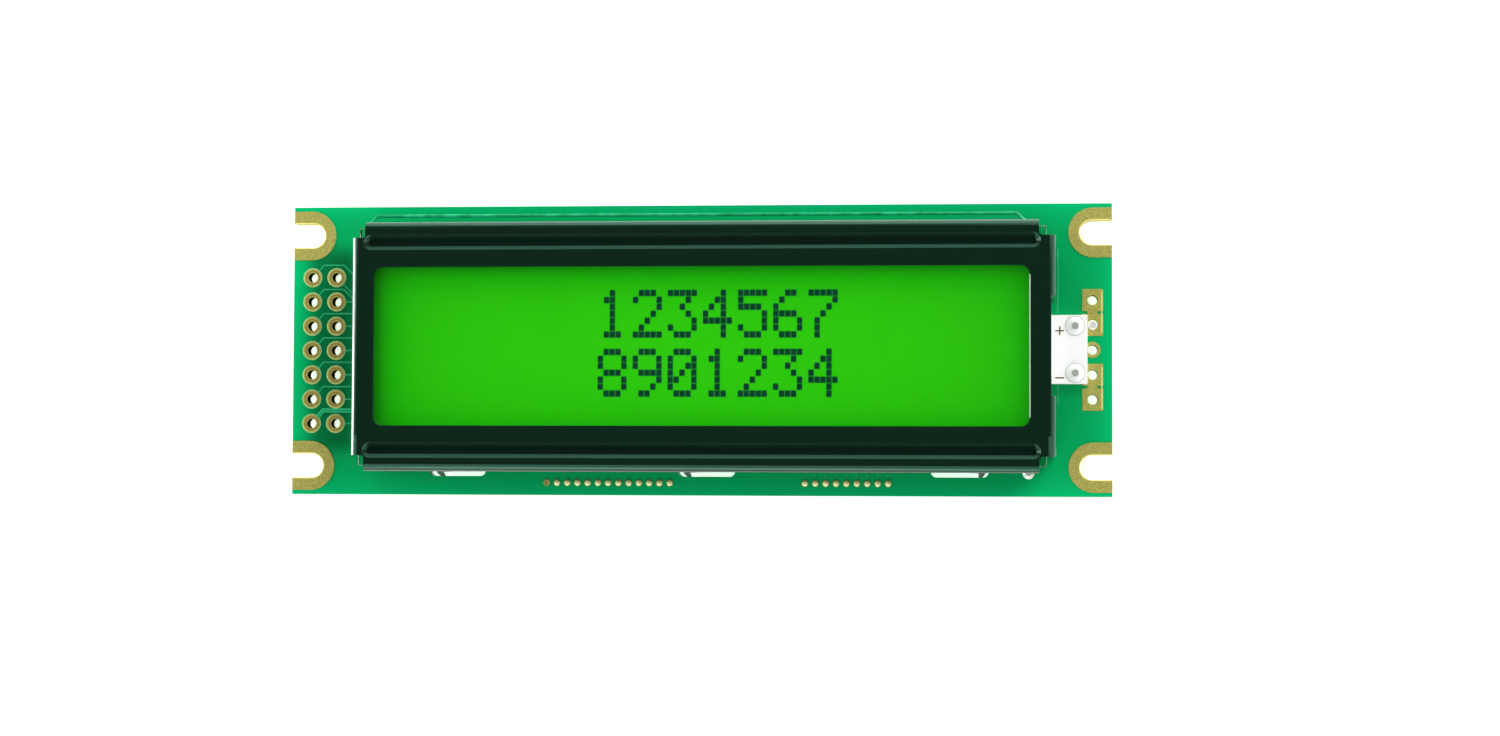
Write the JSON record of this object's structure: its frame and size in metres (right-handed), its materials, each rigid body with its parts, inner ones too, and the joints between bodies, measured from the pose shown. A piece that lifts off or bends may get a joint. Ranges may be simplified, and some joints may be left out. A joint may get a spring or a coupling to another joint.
{
  "type": "character lcd module",
  "caption": "Rectangular character display module: black folded steel bezel round a yellow-green backlit glass cell, on a green circuit board with U-shaped corner slots and rows of plated holes.",
  "frame": {"origin": "middle of the board's outline, in the plane of the six tab ends that the module rests on", "axes": "+X along the lines of characters, from the header to the backlight's tab; +Y up the display; +Z out of the display's face"},
  "size_m": [0.085, 0.03, 0.0123],
  "materials": {
    "board": "green solder mask over glass-fibre board",
    "tinned_copper": "tinned copper",
    "gilt_copper": "gold-flashed copper",
    "solder": "bright solder",
    "bezel": "satin black lacquer on steel",
    "polariser": "smooth polarising film",
    "glass": "polished soda-lime glass",
    "seal": "cured glue",
    "rubber": "matt silicone rubber with carbon layers",
    "white_plastic": "moulded white plastic",
    "diffuser": "frosted sheet",
    "white_board": "white solder mask",
    "led_lens": "clear resin",
    "pin": "tinned wire",
    "resin": "black potting resin",
    "resistor": "glazed ceramic chip",
    "capacitor": "brown ceramic chip"
  },
  "bodies": {
    "root": {"board": "board", "slot_lands": "gilt_copper", "header_lands": "gilt_copper", "supply_lands": "gilt_copper", "test_lands": "gilt_copper", "test_solder": "solder", "supply_solder": "solder", "bezel": "bezel", "earth_solder": "solder", "front_polariser": "polariser", "front_glass": "glass", "cell_seal": "seal", "rear_glass": "glass", "rear_polariser": "polariser", "rubber_strips": "rubber", "light_box": "white_plastic", "diffuser": "diffuser", "led_board": "white_board", "led_bases": "white_plastic", "led_lenses": "led_lens", "backlight_pins": "pin", "pin_lands": "gilt_copper", "backlight_solder": "solder", "controller_drop": "resin", "driver_drop": "resin", "resistors": "resistor", "resistor_ends": "tinned_copper", "capacitors": "capacitor", "capacitor_ends": "tinned_copper", "chip_solder": "solder"}
  },
  "joints": []
}
